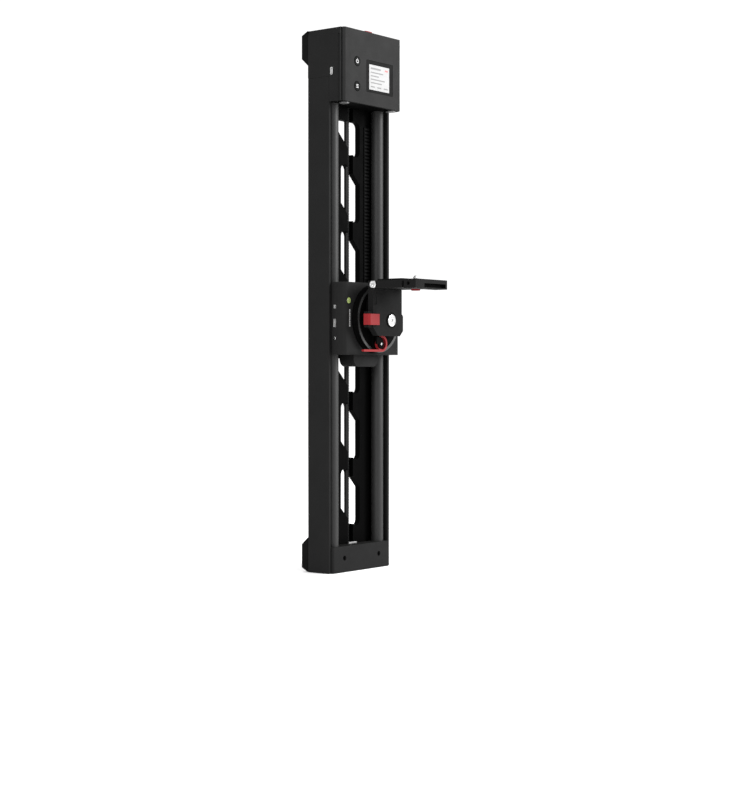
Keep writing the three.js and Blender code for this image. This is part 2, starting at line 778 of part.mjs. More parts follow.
// ---------- carriage, drawn about the middle of its height ----------
function carriageBase() {
  const plate = box(-carriageHalf, carriageHalf, -baseFrontReach, baseBack,
    -carriageHalfHeight, carriageHalfHeight);
  const lobeLow = -carriageHalfHeight - lobeHeight;
  const lobeShape = roundedOutline([
    [-lobeWidth / 2, lobeLow, lobeCorner], [lobeWidth / 2, lobeLow, lobeCorner],
    [lobeWidth / 2, -carriageHalfHeight, 1], [-lobeWidth / 2, -carriageHalfHeight, 1],
  ]);
  const lobe = prismY(lobeShape, -lobeFrontReach, lobeBack);
  const bridge = box(-lobeWidth / 2, lobeWidth / 2, -baseFrontReach, lobeBack,
    -carriageHalfHeight - 1, -carriageHalfHeight + lobeBridge);
  const skirts = SIDES.map(([, side]) => {
    const [x0, x1] = spanX(side, carriageHalf - skirtThickness, carriageHalf);
    return box(x0, x1, baseBack - 1, baseBack + skirtDepth, -carriageHalfHeight, carriageHalfHeight);
  });
  const bolts = rollerPlaces().map(([, x, z]) => rollerBolt().translate(x, 0, z));
  const whole = join(plate, lobe, bridge, ...skirts, ...bolts);
  const ports = sidePorts().map(([, y, z, width, height]) => box(
    -carriageHalf - 1, -carriageHalf + portDepth + 1, y - width / 2 - GAP, y + width / 2 + GAP,
    z - height / 2 - GAP, z + height / 2 + GAP));
  const hub = cylinderY(wormWheelRadius + 1, -baseFrontReach - 1, 0, 0, 0, FINE);
  return cut(whole, ...ports, hub);
}

// Name, y, z, width and height of each socket in the carriage's left side.
function sidePorts() {
  return [
    ['shutter_socket', -0.7, 14.2, 3, 4.4],
    ['motor_socket', -0.4, -5.8, 3.4, 10],
    ['trigger_jack', -0.4, -24, 3.6, 3.6],
  ];
}

function portShell(width, height) {
  const halfW = width / 2;
  const halfH = height / 2;
  const outer = box(0, portDepth, -halfW, halfW, -halfH, halfH);
  const mouth = box(-1, portDepth - 3 * portWall, -halfW + portWall, halfW - portWall,
    -halfH + portWall, halfH - portWall);
  return cut(outer, mouth);
}

function rollerPlaces() {
  const places = [];
  for (const [level, up] of [['upper', 1], ['lower', -1]]) {
    for (const [name, side] of SIDES) {
      places.push([`${level}_${name}`, side * rollerX, up * rollerZ]);
    }
  }
  return places;
}

// Roller whose groove follows the rod with a clearance of GAP.
function roller() {
  const half = rollerWidth / 2;
  const profile = [[rollerBore, -half]];
  const steps = 8;
  for (let k = 0; k <= steps; k += 1) {
    const offset = -half + (k * rollerWidth) / steps;
    const reach = Math.sqrt((rodRadius + GAP) ** 2 - offset ** 2);
    profile.push([rodX - rollerX - reach, offset]);
  }
  profile.push([rollerBore, half]);
  return turned(profile);
}

// Bolt pressed into the base, with a head that keeps its roller on.
function rollerBolt() {
  const far = rodSetback + rollerWidth / 2 + GAP;
  return join(cylinderY(rollerBoltRadius, baseBack - 1, far + rollerBoltThickness / 2, 0, 0),
    cylinderY(rollerBoltHead, far, far + rollerBoltThickness, 0, 0));
}

function carriageCover() {
  const back = -baseFrontReach - GAP;
  const section = roundedRect(-carriageHalf, carriageHalf, -carriageReach, back + coverCorner + 1,
    coverCorner);
  const block = prismZ(section, -carriageHalfHeight, carriageHalfHeight);
  const trim = box(-carriageHalf - 1, carriageHalf + 1, back, back + 20, -carriageHalfHeight - 1,
    carriageHalfHeight + 1);
  const hollow = box(-carriageHalf + coverWall, carriageHalf - coverWall, -carriageReach + coverWall,
    back + 1, -carriageHalfHeight + coverWall, carriageHalfHeight - coverWall);
  const hubHole = cylinderY(hubRadius + hubClearance, -carriageReach - 1, -carriageReach + coverWall + 1,
    0, 0, FINE);
  const level = cylinderY(levelRadius + GAP, -carriageReach - 1, -carriageReach + levelDepth + GAP,
    levelX, levelZ);
  return cut(block, trim, hollow, hubHole, level);
}

// Toothed drive pulley on its shaft, along the X axis.
function drivePulley() {
  const root = beltPitchRadius - beltThickness / 2 - GAP;
  const inner = beltWidth / 2 + beltSideGap;
  const profile = [
    [0, -cheekOuter], [shaftRadius, -cheekOuter], [shaftRadius, -pulleyHalf],
    [pulleyFlangeRadius, -pulleyHalf], [pulleyFlangeRadius, -inner], [root, -inner], [root, inner],
    [pulleyFlangeRadius, inner], [pulleyFlangeRadius, pulleyHalf], [shaftRadius, pulleyHalf],
    [shaftRadius, cheekOuter], [0, cheekOuter],
  ];
  return turned(profile).rotateZ(Math.PI / 2);
}

function beltIdler() {
  const inner = beltWidth / 2 + beltSideGap;
  const bore = idlerPinRadius + GAP;
  const profile = [
    [bore, -pulleyHalf], [idlerFlangeRadius, -pulleyHalf], [idlerFlangeRadius, -inner],
    [idlerRadius, -inner], [idlerRadius, inner], [idlerFlangeRadius, inner],
    [idlerFlangeRadius, pulleyHalf], [bore, pulleyHalf],
  ];
  return turned(profile).rotateZ(Math.PI / 2);
}

// Bracket on the back of the base: two cheeks with the idlers' pins pressed into them.
function beltBracket() {
  const front = baseBack + GAP;
  const back = webSetback - GAP;
  const cheeks = SIDES.map(([, side]) => {
    const [x0, x1] = spanX(side, cheekInner, cheekOuter);
    return box(x0, x1, front, back, -cheekRise, cheekRise);
  });
  const ties = SIDES.map(([, side]) => {
    const [z0, z1] = spanX(side, cheekRise - cheekThickness, cheekRise);
    return box(-cheekOuter, cheekOuter, front, back - idlerFlangeRadius, z0, z1);
  });
  const pins = SIDES.map(([, side]) => cylinderX(
    idlerPinRadius, -cheekInner - 1, cheekInner + 1, idlerY, side * idlerZ));
  const shaftWay = cylinderX(shaftRadius + GAP, -cheekOuter - 1, cheekOuter + 1, pulleyY, 0);
  return cut(join(cheeks[0], cheeks[1], ...ties, ...pins), shaftWay);
}

// Stretch of belt round the idlers and the drive pulley, drawn in (y, z).
function beltWrap() {
  const half = beltThickness / 2;
  const shape = new THREE.Shape();
  shape.absarc(idlerY, -idlerZ, idlerPitchRadius + half, 0, Math.PI / 2, false);
  shape.absarc(pulleyY, 0, beltPitchRadius - half, -Math.PI / 2, Math.PI / 2, true);
  shape.absarc(idlerY, idlerZ, idlerPitchRadius + half, -Math.PI / 2, 0, false);
  shape.absarc(idlerY, idlerZ, idlerPitchRadius - half, 0, -Math.PI / 2, true);
  shape.absarc(pulleyY, 0, beltPitchRadius + half, Math.PI / 2, -Math.PI / 2, false);
  shape.absarc(idlerY, -idlerZ, idlerPitchRadius - half, Math.PI / 2, 0, true);
  return prismX(shape, -beltWidth / 2, beltWidth / 2, 12);
}

function beltDrive() {
  return [
    part('belt_bracket', beltBracket(), 'steel'),
    part('belt_wrap', beltWrap(), 'rubber'),
    assembly([0, pulleyY, 0], part('drive_pulley', drivePulley(), 'steel')),
    ...[['upper', 1], ['lower', -1]].map(([name, up]) => assembly([0, idlerY, up * idlerZ],
      part(`belt_idler_${name}`, beltIdler(), 'steel'))),
    part('drive_motor', cylinderX(motorRadius, cheekOuter + GAP, webCoreHalf, pulleyY, 0, FINE), 'steel'),
  ];
}

function panMotor() {
  const x0 = wormLength / 2 + panMotorGap;
  return cylinderX(panMotorRadius, x0, x0 + panMotorLength, wormY, wormZ);
}

function carriage() {
  return [
    part('carriage_base', carriageBase(), 'black'),
    part('carriage_cover', carriageCover(), 'anodised'),
    ...beltDrive(),
    part('pan_motor', panMotor(), 'steel'),
    part('pan_worm', cylinderX(wormRadius, -wormLength / 2, wormLength / 2, wormY, wormZ), 'brass'),
    assembly([levelX, -carriageReach, levelZ], part('bubble_level', levelVial(), 'vial')),
    ...sidePorts().map(([name, y, z, width, height]) => assembly([-carriageHalf - portProud, y, z],
      part(name, portShell(width, height), 'steel'))),
    ...rollerPlaces().map(([name, x, z]) => assembly([x, rodSetback, z],
      part(`guide_roller_${name}`, roller(), 'rubber'))),
  ];
}

function levelVial() {
  return cylinderY(levelRadius, 0, levelDepth, 0, 0);
}

// ---------- pan head, drawn about the pan axis ----------
function turntable() {
  const disc = cylinderY(turntableRadius, turntableFrontY, turntableBackY, 0, 0, 2 * FINE);
  const hub = cylinderY(hubRadius, turntableBackY - 1, turntableBackY + hubLength, 0, 0, FINE);
  return join(disc, hub);
}

function wormWheel() {
  const back = wormWheelBackY();
  return gear(wormWheelRadius, wormWheelWidth, wheelTeeth, hubRadius - 4).rotateX(Math.PI / 2)
    .translate(0, back, 0);
}

function wormWheelBackY() {
  return turntableBackY + hubLength + GAP + wormWheelWidth;
}

// Clamp block with a plate below it that carries the locking lever.
function clampBlock() {
  const half = clampBlockWidth / 2;
  const back = turntableFrontY - GAP;
  const low = clampBlockRise - clampBlockHeight / 2;
  const block = prismY(roundedRect(-half, half, low, low + clampBlockHeight, clampCorner),
    clampFrontY, back);
  const tongue = prismY(roundedRect(camX - camPlateHalfWidth, camX + camPlateHalfWidth,
    camZ - camPlateHalfWidth, low + clampCorner + 1, clampCorner), back - camPlateThickness, back);
  const pinHole = cylinderY(camPinRadius + GAP, back - camPlateThickness - 1, back + 1, camX, camZ);
  return cut(join(block, tongue), pinHole);
}

// Lever drawn about its pivot: a ring set off to the right, with a handle that leaves it on the left.
function camLever() {
  const y1 = turntableFrontY - GAP - camPlateThickness - GAP;
  const y0 = y1 - camThickness;
  const [ringX, ringZ] = camRingOffset;
  const ring = cut(cylinderY(camRingRadius, y0, y1, ringX, ringZ, FINE),
    cylinderY(camRingRadius - camRingWidth, y0 - 1, y1 + 1, ringX, ringZ, FINE));
  const boss = cylinderY(camBossRadius, y0, y1, 0, 0, FINE);
  const low = ringZ - camRingRadius;
  const handle = prismY(roundedRect(-camHandleLength, ringX, low, low + camRingWidth,
    camRingWidth * 0.45), y0, y1);
  const bore = cylinderY(camPinRadius + GAP, y0 - 1, y1 + 1, 0, 0);
  return cut(join(ring, boss, handle), bore);
}

// Pin with a round hub and a square shoulder in front of the lever.
function camPin() {
  const back = turntableFrontY - 2 * GAP;
  const hubBack = turntableFrontY - 3 * GAP - camPlateThickness - camThickness;
  const hubFront = hubBack - camHubThickness;
  return join(cylinderY(camPinRadius, hubBack - 1, back, 0, 0),
    cylinderY(camHubRadius, hubFront, hubBack, 0, 0, FINE),
    box(-camShield[0], 0, hubFront, hubBack, 0, camShield[1]),
    cylinderY(camTipRadius, hubFront - camTipProud, hubFront + 1, 0, 0));
}

function bracketPlate() {
  const half = bracketWidth / 2;
  const c = bracketCorner;
  const [step, stepZ] = plateStep;
  const profile = outline([
    [-half, -bracketBottom + bracketCut], [-half + bracketCut, -bracketBottom],
    [half - c, -bracketBottom], [half, -bracketBottom + c],
    [half, stepZ], [half - step, stepZ + step], [half - step, bracketTop], [-half, bracketTop],
  ]);
  const plate = prismY(profile, bracketFrontY, bracketBackY);
  const slotTop = bracketTop - slotDrop;
  const slotLow = slotTop - slotLength;
  const slot = join(
    box(slotX - slotWidth / 2, slotX + slotWidth / 2, bracketFrontY - 1, bracketFrontY + slotDepth,
      slotLow, slotTop),
    box(slotX - slotHook, slotX, bracketFrontY - 1, bracketFrontY + slotDepth, slotLow,
      slotLow + slotWidth));
  const recess = cylinderY(knobRecessRadius, bracketFrontY - 1, bracketFrontY + knobRecessDepth,
    knobX, knobZ, FINE);
  const knobHole = cylinderY(knobStemRadius + GAP, bracketFrontY, bracketBackY + 1, knobX, knobZ);
  const ears = [leverZ - leverHeight / 2 - GAP - earThickness, leverZ + leverHeight / 2 + GAP].map(
    (low) => box(-half - earLength, -half + 1, bracketBackY - earDepth, bracketBackY, low,
      low + earThickness));
  const pinReach = leverHeight / 2 + earThickness;
  const pin = cylinderZ(leverPinRadius, leverZ - pinReach, leverZ + pinReach, -half - leverPivot[0],
    bracketBackY - leverPivot[1]);
  return cut(join(plate, ...ears, pin), slot, recess, knobHole);
}

// Lever drawn in (x, y) about its pivot: an arm past the plate's edge and a tip over its front.
function bracketLever() {
  const edge = leverPivot[0];
  const front = bracketThickness - leverPivot[1];
  const inner = -front - GAP;
  const outer = inner - leverThickness;
  const left = -edge - 5.6;
  const shape = outline([
    [left + edge + 0.6, 3.2], [left + edge - 2, 1], [left + edge - 3.2, outer + 2],
    [left + edge - 1.4, outer], [leverTip - 2, outer], [leverTip, outer + 1.2],
    [leverTip, inner], [edge - 0.9, inner], [edge - 0.9, 2.2],
  ]);
  const arm = prismZ(shape, -leverHeight / 2, leverHeight / 2);
  const bore = cylinderZ(leverPinRadius + GAP, -leverHeight, leverHeight, 0, 0);
  return cut(arm, bore);
}

function knob() {
  const front = bracketFrontY + knobRecessDepth - GAP;
  const disc = cylinderY(knobRadius, front - knobThickness, front, 0, 0, FINE);
  const stem = cylinderY(knobStemRadius, front - 1, bracketBackY - GAP, 0, 0);
  const coinSlot = box(-knobRadius - 1, knobRadius + 1, front - knobThickness - 1,
    front - knobThickness + knobSlotDepth, -knobSlotWidth / 2, knobSlotWidth / 2);
  return cut(join(disc, stem), coinSlot);
}

// ---------- camera platform, drawn about the pan axis ----------
function platformArm() {
  const half = bracketWidth / 2;
  const arm = box(-half, half, armFrontY, bracketBackY, armBottom, armTop);
  const rods = SIDES.map(([, side]) => cylinderY(jawRodRadius + GAP, armFrontY - 1,
    armFrontY + jawRodRoom, side * jawRodX, armMiddle));
  const screwHole = cylinderZ(cameraScrewRadius + GAP, armBottom - 1, armTop + 1, cameraScrewX, cameraScrewY);
  const knobRoom = cylinderZ(cameraKnobRadius + 2 * GAP, armBottom - 1,
    cameraKnobLow + cameraKnobThickness + GAP, cameraScrewX, cameraScrewY, FINE);
  const sideScrew = cylinderX(armScrewShank + GAP, -half - 1, -half + armScrewReach + 1,
    bracketBackY - armScrewSetback, armMiddle);
  return cut(arm, ...rods, screwHole, knobRoom, sideScrew);
}

function armScrew() {
  const half = bracketWidth / 2;
  const y = bracketBackY - armScrewSetback;
  const z = armMiddle;
  const headPiece = cylinderX(armScrewRadius, -half - GAP - armScrewHead, -half - GAP, y, z);
  const shank = cylinderX(armScrewShank, -half - 1, -half + armScrewReach, y, z);
  const socket = cylinderX(armScrewSocket, -half - armScrewHead - 1, -half - GAP - 1, y, z, 6);
  return cut(join(headPiece, shank), socket);
}

function cameraJaw() {
  const half = bracketWidth / 2;
  const right = half + jawOverhang;
  const low = jawTop - jawHeight;
  const block = box(-half, right, jawFrontY, jawBackY, low, jawTop);
  const [recessW, recessH, recessD] = jawRecess;
  const recessLow = low + jawRecessRise;
  const recess = box(jawRecessX - recessW / 2, jawRecessX + recessW / 2, jawFrontY - 1,
    jawFrontY + recessD, recessLow, recessLow + recessH);
  const sideHole = cylinderX(jawHoleRadius, -half - 1, -half + jawHoleDepth,
    jawBackY - jawHoleSetback, armMiddle);
  const rods = SIDES.map(([, side]) => cylinderY(
    jawRodRadius, jawBackY - 2, armFrontY + jawRodLength, side * jawRodX, armMiddle));
  return join(cut(block, recess, sideHole), ...rods);
}

function cameraPad() {
  const half = bracketWidth / 2 - 2;
  const shape = roundedRect(-half, half, armFrontY + 1, bracketFrontY - 4, 2);
  const pad = prismZ(shape, armTop + GAP, armTop + GAP + padPlateThickness);
  const hole = cylinderZ(cameraScrewRadius + 1, armTop - 1, armTop + 4, cameraScrewX, cameraScrewY);
  return cut(pad, hole);
}

function cameraScrew() {
  const top = armTop + padPlateThickness + cameraScrewRise;
  const shoulder = armTop + padPlateThickness + GAP;
  const shank = turned([[0, armBottom + 1], [cameraScrewRadius, armBottom + 1],
    [cameraScrewRadius, shoulder], [cameraScrewTip, top], [0, top]]).rotateX(Math.PI / 2);
  const knobPiece = cylinderZ(cameraKnobRadius, cameraKnobLow, cameraKnobLow + cameraKnobThickness,
    0, 0, FINE);
  return join(shank, knobPiece);
}

function panHead() {
  const half = bracketWidth / 2;
  return [
    part('pan_turntable', turntable(), 'black'),
    part('pan_worm_wheel', wormWheel(), 'brass'),
    part('clamp_block', clampBlock(), 'black'),
    assembly([camX, 0, camZ],
      part('clamp_lever', camLever(), 'red'),
      part('clamp_lever_pin', camPin(), 'black')),
    part('bracket_plate', bracketPlate(), 'anodised'),
    assembly([-half - leverPivot[0], bracketBackY - leverPivot[1], leverZ],
      part('bracket_lever', bracketLever(), 'red')),
    assembly([knobX, 0, knobZ], part('bracket_knob', knob(), 'steel')),
    part('platform_arm', platformArm(), 'anodised'),
    part('platform_arm_screw', armScrew(), 'steel'),
    part('camera_jaw', cameraJaw(), 'anodised'),
    part('camera_pad', cameraPad(), 'rubber'),
    assembly([cameraScrewX, cameraScrewY, 0], part('camera_screw', cameraScrew(), 'red')),
  ];
}

// ---------- whole slider ----------
function rail() {
  return [
    ...SIDES.map(([name, side]) => part(`side_plate_${name}`, sidePlate(side), 'charcoal')),
    ...SIDES.map(([name, side]) => assembly([side * rodX, rodSetback, 0],
      part(`guide_rod_${name}`, rod(), 'steel'))),
    part('web', web(), 'black'),
    part('mid_mount', midMount(), 'black'),
    part('ribbed_cable', ribbedCable(), 'rubber'),
    part('end_cap', endCap(), 'anodised'),
    part('belt_anchor_lower', beltAnchor(capHeight - anchorSize[2], true), 'steel'),
    part('drive_belt', belt(), 'rubber'),
    ...feet(),
  ];
}

const slider = new THREE.Group();
slider.position.set(0, -railDepth / 2, 0);
slider.add(...rail(), ...head());
slider.add(assembly([0, 0, carriageZ], ...carriage(), assembly([0, 0, 0], ...panHead())));

export default slider;
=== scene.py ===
# Looks of the camera slider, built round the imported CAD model. Metres, +Z up, front faces -Y.
import json
import math

import bmesh
import bpy
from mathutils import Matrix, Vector


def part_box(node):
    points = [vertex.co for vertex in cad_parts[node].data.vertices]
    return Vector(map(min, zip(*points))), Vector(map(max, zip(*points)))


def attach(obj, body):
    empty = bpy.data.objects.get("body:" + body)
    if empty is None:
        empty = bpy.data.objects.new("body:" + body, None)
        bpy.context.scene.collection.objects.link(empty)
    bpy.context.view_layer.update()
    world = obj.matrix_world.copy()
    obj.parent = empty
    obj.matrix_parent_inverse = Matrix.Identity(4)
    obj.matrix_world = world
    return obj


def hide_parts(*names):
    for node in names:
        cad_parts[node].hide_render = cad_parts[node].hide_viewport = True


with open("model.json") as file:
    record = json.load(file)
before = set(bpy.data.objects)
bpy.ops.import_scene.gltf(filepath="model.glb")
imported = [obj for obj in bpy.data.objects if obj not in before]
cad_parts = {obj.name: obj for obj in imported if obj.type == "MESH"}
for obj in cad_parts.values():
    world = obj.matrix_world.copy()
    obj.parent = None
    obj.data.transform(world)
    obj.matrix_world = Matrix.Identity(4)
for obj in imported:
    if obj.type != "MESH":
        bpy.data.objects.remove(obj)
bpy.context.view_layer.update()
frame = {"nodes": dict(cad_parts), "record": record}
MM = 0.001
X_AXIS, Y_AXIS, Z_AXIS = (1, 0, 0), (0, 1, 0), (0, 0, 1)

# ---------- camera, floor and light ----------
CAMERA_PLACE = (-1.6526, -1.3233, 0.2491)
CAMERA_LOOK = (0.7895, 0.6137, 0.0)
CAMERA_LENS = 76.73
CAMERA_SHIFT = -0.0403
SKY_STRENGTH = 1.1
FLOOR_RADIUS = 14
FLOOR_DROP = 0.0005                 # below the part, so that the two faces don't meet


def aim(thing, place, direction):
    thing.location = place
    thing.rotation_mode = "QUATERNION"
    thing.rotation_quaternion = Vector(direction).to_track_quat("-Z", "Y")
    bpy.context.collection.objects.link(thing)


def make_camera():
    data = bpy.data.cameras.new("camera")
    data.lens = CAMERA_LENS
    data.shift_y = CAMERA_SHIFT
    camera = bpy.data.objects.new("camera", data)
    aim(camera, CAMERA_PLACE, CAMERA_LOOK)
    bpy.context.scene.camera = camera


def area_light(name, place, target, size, power):
    data = bpy.data.lights.new(name, "AREA")
    data.shape = "RECTANGLE"
    data.size, data.size_y = size
    data.energy = power
    aim(bpy.data.objects.new(name, data), place, Vector(target) - Vector(place))


def make_light():
    world = bpy.data.worlds.new("studio")
    bpy.context.scene.world = world
    world.use_nodes = True
    background = world.node_tree.nodes["Background"]
    background.inputs["Color"].default_value = (1.0, 1.0, 1.0, 1.0)
    background.inputs["Strength"].default_value = SKY_STRENGTH
    area_light("key", (1.6, -2.2, 1.4), (0, 0, 0.35), (0.9, 1.8), 150)
    area_light("fill", (-2.2, -0.6, 1.2), (0, 0, 0.3), (1.0, 1.6), 40)


def make_floor():
    mesh = bpy.data.meshes.new("floor")
    bm = bmesh.new()
    bmesh.ops.create_circle(bm, cap_ends=True, segments=96, radius=FLOOR_RADIUS)
    bm.to_mesh(mesh)
    bm.free()
    floor = bpy.data.objects.new("floor", mesh)
    floor.location.z = -FLOOR_DROP
    bpy.context.collection.objects.link(floor)
    floor.data.materials.append(paper())


# ---------- materials ----------
MIX_FIRST, MIX_SECOND, MIX_RESULT = 6, 7, 2     # colour sockets of the Mix node
NOISE_LOW, NOISE_HIGH = 0.3, 0.7                # where most of a noise texture's values lie
PATCH_SCALE, RUB_SCALE, SHEEN_SCALE = 25, 180, 60
PATCH_TINT = 0.86                               # the darker patches' share of the colour
EDGE_WEAR = 0.5
EDGE_RADIUS = 0.0006
EDGE_FLAT, EDGE_SHARP = 0.98, 0.8               # normal against softened normal
GRAIN_HEIGHT = 0.0002


class Graph:
    """A node material under construction."""

    def __init__(self, name):
        self.material = bpy.data.materials.new(name)
        self.material.use_nodes = True
        self.nodes = self.material.node_tree.nodes
        self.shader = self.nodes["Principled BSDF"]
        self.coords = self.node("ShaderNodeTexCoord").outputs["Object"]

    def node(self, kind, **settings):
        made = self.nodes.new(kind)
        for key, value in settings.items():
            setattr(made, key, value)
        return made

    def link(self, source, socket):
        self.material.node_tree.links.new(source, socket)

    def put(self, value, socket):
        if isinstance(value, bpy.types.NodeSocket):
            self.link(value, socket)
        else:
            socket.default_value = value

    def noise(self, scale, detail, stretch=(1, 1, 1)):
        place = self.node("ShaderNodeMapping")
        place.inputs["Scale"].default_value = stretch
        self.link(self.coords, place.inputs["Vector"])
        made = self.node("ShaderNodeTexNoise")
        made.inputs["Scale"].default_value = scale
        made.inputs["Detail"].default_value = detail
        self.link(place.outputs["Vector"], made.inputs["Vector"])
        return made.outputs["Fac"]

    def between(self, factor, low, high):
        made = self.node("ShaderNodeMapRange")
        made.inputs["From Min"].default_value = NOISE_LOW
        made.inputs["From Max"].default_value = NOISE_HIGH
        made.inputs["To Min"].default_value = low
        made.inputs["To Max"].default_value = high
        self.link(factor, made.inputs["Value"])
        return made.outputs["Result"]

    def mix(self, factor, first, second):
        made = self.node("ShaderNodeMix", data_type="RGBA")
        self.put(factor, made.inputs["Factor"])
        self.put(first, made.inputs[MIX_FIRST])
        self.put(second, made.inputs[MIX_SECOND])
        return made.outputs[MIX_RESULT]

    def edges(self, radius):
        """1 on edges sharper than the radius, 0 on flat stretches."""
        soft = self.node("ShaderNodeBevel", samples=4)
        soft.inputs["Radius"].default_value = radius
        normal = self.node("ShaderNodeNewGeometry").outputs["Normal"]
        dot = self.node("ShaderNodeVectorMath", operation="DOT_PRODUCT")
        self.link(soft.outputs["Normal"], dot.inputs[0])
        self.link(normal, dot.inputs[1])
        made = self.node("ShaderNodeMapRange")
        made.inputs["From Min"].default_value = EDGE_FLAT
        made.inputs["From Max"].default_value = EDGE_SHARP
        self.link(dot.outputs["Value"], made.inputs["Value"])
        return made.outputs["Result"]

    def bump(self, height, strength, distance):
        made = self.node("ShaderNodeBump")
        made.inputs["Strength"].default_value = strength
        made.inputs["Distance"].default_value = distance
        self.link(height, made.inputs["Height"])
        self.link(made.outputs["Normal"], self.shader.inputs["Normal"])


def grey(level):
    return (level, level, level, 1.0)


def finish_material(name, color, worn, metallic, roughness, grain=3500, depth=0.02,
                    stretch=(1, 1, 1), specular=0.5):
    """Coated or bare surface: patchy colour, uneven roughness, fine grain and paler edges."""
    g = Graph(name)
    low, high = roughness
    tint = tuple(c * PATCH_TINT for c in color[:3]) + (1.0,)
    body = g.mix(g.between(g.noise(PATCH_SCALE, 4), 0.0, 1.0), tint, color)
    rub = g.node("ShaderNodeMath", operation="MULTIPLY")
    g.link(g.edges(EDGE_RADIUS), rub.inputs[0])
    g.link(g.between(g.noise(RUB_SCALE, 4), 0.25 * EDGE_WEAR, EDGE_WEAR), rub.inputs[1])
    g.link(g.mix(rub.outputs["Value"], body, worn), g.shader.inputs["Base Color"])
    g.link(g.between(g.noise(SHEEN_SCALE, 5, stretch), low, high), g.shader.inputs["Roughness"])
    g.shader.inputs["Metallic"].default_value = metallic
    g.shader.inputs["Specular IOR Level"].default_value = specular
    g.bump(g.noise(grain, 2, stretch), depth, GRAIN_HEIGHT)
    return g.material


def paper():
    g = Graph("paper")
    shade = g.mix(g.between(g.noise(2, 4), 0.0, 1.0), grey(0.94), grey(0.97))
    g.link(shade, g.shader.inputs["Base Color"])
    g.shader.inputs["Roughness"].default_value = 0.95
    g.shader.inputs["Specular IOR Level"].default_value = 0.1
    return g.material


SATIN = {"specular": 0.03, "depth": 0.1}
DARK = {"specular": 0.01, "depth": 0.1}
PRINT = {"specular": 0.1}
# Each finish: colour, colour on worn edges, metallic, least and most roughness, other settings.
FINISHES = {
    "anodised": (grey(0.0068), grey(0.03), 0.0, (0.55, 0.7), SATIN),
    "head": (grey(0.0165), grey(0.05), 0.0, (0.55, 0.7), SATIN),
    "cap": (grey(0.0108), grey(0.035), 0.0, (0.55, 0.7), SATIN),
    "charcoal": (grey(0.0095), grey(0.03), 0.0, (0.5, 0.65), SATIN),
    "black_metal": (grey(0.0013), grey(0.008), 0.0, (0.5, 0.65), DARK),
    "polished_steel": (grey(0.62), grey(0.8), 1.0, (0.12, 0.25), {}),
    "steel": (grey(0.30), grey(0.45), 1.0, (0.3, 0.42), {"stretch": (1, 6, 1)}),
    "rubber": (grey(0.0035), grey(0.01), 0.0, (0.7, 0.9), {"grain": 1200, "depth": 0.2, "specular": 0.04}),
    "roller": (grey(0.012), grey(0.03), 0.0, (0.35, 0.5), SATIN),
    "red": ((0.17, 0.010, 0.012, 1), (0.3, 0.04, 0.04, 1), 0.0, (0.4, 0.55), PRINT),
    "brass": ((0.60, 0.40, 0.14, 1), (0.8, 0.6, 0.3, 1), 1.0, (0.25, 0.4), {}),
    "button": (grey(0.004), grey(0.015), 0.0, (0.5, 0.6), SATIN),
    "screen": (grey(0.31), grey(0.34), 0.0, (0.2, 0.3), {"specular": 0.05}),
    "board": ((0.01, 0.10, 0.04, 1), (0.1, 0.2, 0.1, 1), 0.0, (0.3, 0.45), {}),
    "battery": ((0.03, 0.08, 0.22, 1), (0.1, 0.2, 0.3, 1), 0.0, (0.35, 0.5), {}),
    "vial": ((0.26, 0.33, 0.10, 1), (0.4, 0.5, 0.2, 1), 0.0, (0.08, 0.15), {}),
    "rod": (grey(0.012), grey(0.03), 0.0, (0.5, 0.56), {"specular": 0.22, "stretch": (1, 1, 12)}),
    # pale finish for print and the white sockets; on the charging socket and its tongue it is a painted
    # highlight
    "pale_print_and_painted_highlight": (grey(0.42), grey(0.5), 0.0, (0.5, 0.6), PRINT),
    "dim_mark": (grey(0.16), grey(0.2), 0.0, (0.5, 0.6), PRINT),
    "red_mark": ((0.30, 0.08, 0.08, 1), (0.36, 0.1, 0.1, 1), 0.0, (0.5, 0.6), {}),
    # rim: lighter ring on the turntable's front face, a painted highlight along the black disc's edge
    "rim": (grey(0.030), grey(0.06), 0.2, (0.4, 0.5), {"specular": 0.2}),
    "worn_steel": (grey(0.08), grey(0.2), 0.6, (0.35, 0.5), {}),
}
MATERIALS = {name: finish_material(name, *row[:4], **row[4]) for name, row in FINISHES.items()}

# ---------- CAD nodes ----------
SLOTS = {row["node"]: row["material_slot"] for row in frame["record"]["subparts"]}
BODIES = frame["record"]["behaviour"]["bodies"]
BODY_OF = {node: body for body, nodes in BODIES.items() for node in nodes}
OWN_FINISH = {"head_front_cover": "head", "end_cap": "cap",
              "carriage_base": "cap", "carriage_cover": "cap",
              # the charging socket's pale finish is a painted highlight on its metal shell
              "charging_socket": "pale_print_and_painted_highlight", "shutter_socket": "pale_print_and_painted_highlight", "motor_socket": "pale_print_and_painted_highlight",
              "stop_bumper_left": "worn_steel", "stop_bumper_right": "worn_steel"}
NODE_EDGE = 0.4                     # rounding of the CAD nodes' edges, in millimetres
ROUNDED_ANGLE = math.radians(35)    # edges that turn by more than this are rounded
SMOOTH_ANGLE = math.radians(32)     # edges that turn by less than this are shaded smooth
WELD_GAP = 1e-6


def round_edges(thing, width):
    bevel = thing.modifiers.new("bevel", "BEVEL")
    bevel.width = width * MM
    bevel.segments = 2
    bevel.limit_method = "ANGLE"
    bevel.angle_limit = ROUNDED_ANGLE
    bevel.harden_normals = True


def soften(node):
    """Rounds a CAD node's edges and shades its round faces smooth, leaving its mesh as packed."""
    weld = node.modifiers.new("weld", "WELD")
    weld.merge_threshold = WELD_GAP
    for polygon in node.data.polygons:
        polygon.use_smooth = True
    round_edges(node, NODE_EDGE)
    normals = node.modifiers.new("normals", "WEIGHTED_NORMAL")
    normals.keep_sharp = True


def dress_nodes():
    for name, node in frame["nodes"].items():
        node.data.materials.clear()
        node.data.materials.append(MATERIALS[OWN_FINISH.get(name, SLOTS[name])])
        soften(node)


